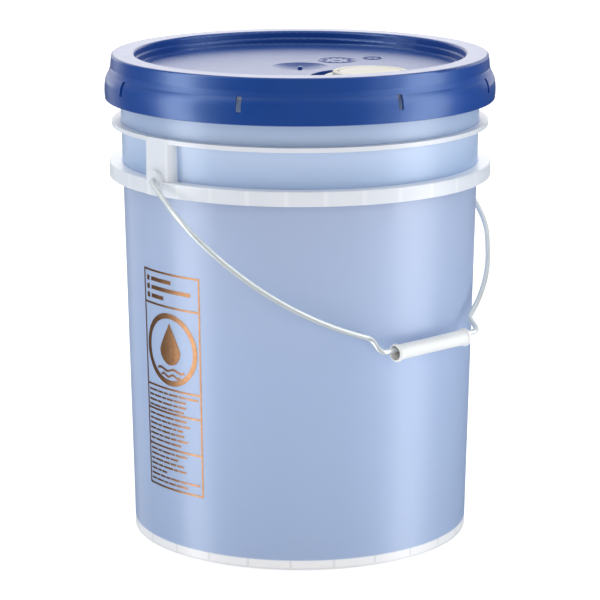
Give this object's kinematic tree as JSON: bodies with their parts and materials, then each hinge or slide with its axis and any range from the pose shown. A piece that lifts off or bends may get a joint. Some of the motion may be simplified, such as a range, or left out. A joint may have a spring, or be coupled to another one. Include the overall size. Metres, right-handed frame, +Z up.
{
  "type": "lidded wash bucket",
  "caption": "Tapered plastic pail with ribbed rim, press-on lid, screw-capped pull-up spout and a wire bail with a loose grip.",
  "frame": {"origin": "on the pail's axis, in the plane of the foot ring that it stands on", "axes": "+Z up along the pail's axis, X through the two bail ears, the bail hangs and the spout sits on the -Y side"},
  "size_m": [0.3214, 0.3027, 0.375],
  "materials": {
    "pail_plastic": "glossy translucent polyethylene, pale blue where it is filled and milky white at the ribs and foot",
    "lid_plastic": "glossy moulded polyethylene, royal blue",
    "spout_plastic": "satin moulded polyethylene, cream white",
    "grip_plastic": "satin extruded plastic tube, near white",
    "bail_steel": "drawn wire, bright zinc plate",
    "gasket_rubber": "soft matt",
    "liner_foam": "matt foam"
  },
  "bodies": {
    "pail": {"pail_body": "pail_plastic"},
    "bail": {"bail_wire": "bail_steel"},
    "grip": {"bail_grip": "grip_plastic"},
    "lid": {"lid": "lid_plastic", "lid_gasket": "gasket_rubber", "spout_retainer": "spout_plastic"},
    "nozzle": {"spout_nozzle": "spout_plastic"},
    "liner": {"cap_liner": "liner_foam"},
    "cap": {"spout_cap": "spout_plastic"},
    "pull_rear": {"pull_ring_rear": "spout_plastic"},
    "pull_front": {"pull_ring_front": "spout_plastic"}
  },
  "joints": [
    {"name": "bail_swing", "type": "hinge", "parent": "pail", "child": "bail", "pos_m": [0, 0, 0.2926], "axis": [-1, 0, 0], "range_deg": [-1.5, 262]},
    {"name": "grip_spin", "type": "hinge", "parent": "bail", "child": "grip", "pos_m": [-0.002, -0.14493, 0.16881], "axis": [1, 0, 0], "continuous": true},
    {"name": "lid_lift", "type": "slide", "parent": "pail", "child": "lid", "axis": [0, 0, 1], "range_m": [0, 0.12]},
    {"name": "nozzle_pull", "type": "slide", "parent": "lid", "child": "nozzle", "axis": [0, 0, 1], "range_m": [0, 0.032]},
    {"name": "cap_lift", "type": "slide", "parent": "nozzle", "child": "liner", "axis": [0, 0, 1], "range_m": [0, 0.008]},
    {"name": "cap_turn", "type": "hinge", "parent": "liner", "child": "cap", "pos_m": [0, -0.077, 0.366], "axis": [0, 0, 1], "range_deg": [0, 720]},
    {"name": "pull_rear_fold", "type": "hinge", "parent": "cap", "child": "pull_rear", "pos_m": [0.00151, -0.0754, 0.3668], "axis": [0.729, -0.6845, 0], "range_deg": [0, 90]},
    {"name": "pull_front_fold", "type": "hinge", "parent": "cap", "child": "pull_front", "pos_m": [-0.00151, -0.0786, 0.3668], "axis": [-0.729, 0.6845, 0], "range_deg": [0, 90]}
  ],
  "couplings": [
    {"joint": "cap_lift", "follows": "cap_turn", "m_per_rad": 0.00063662}
  ]
}
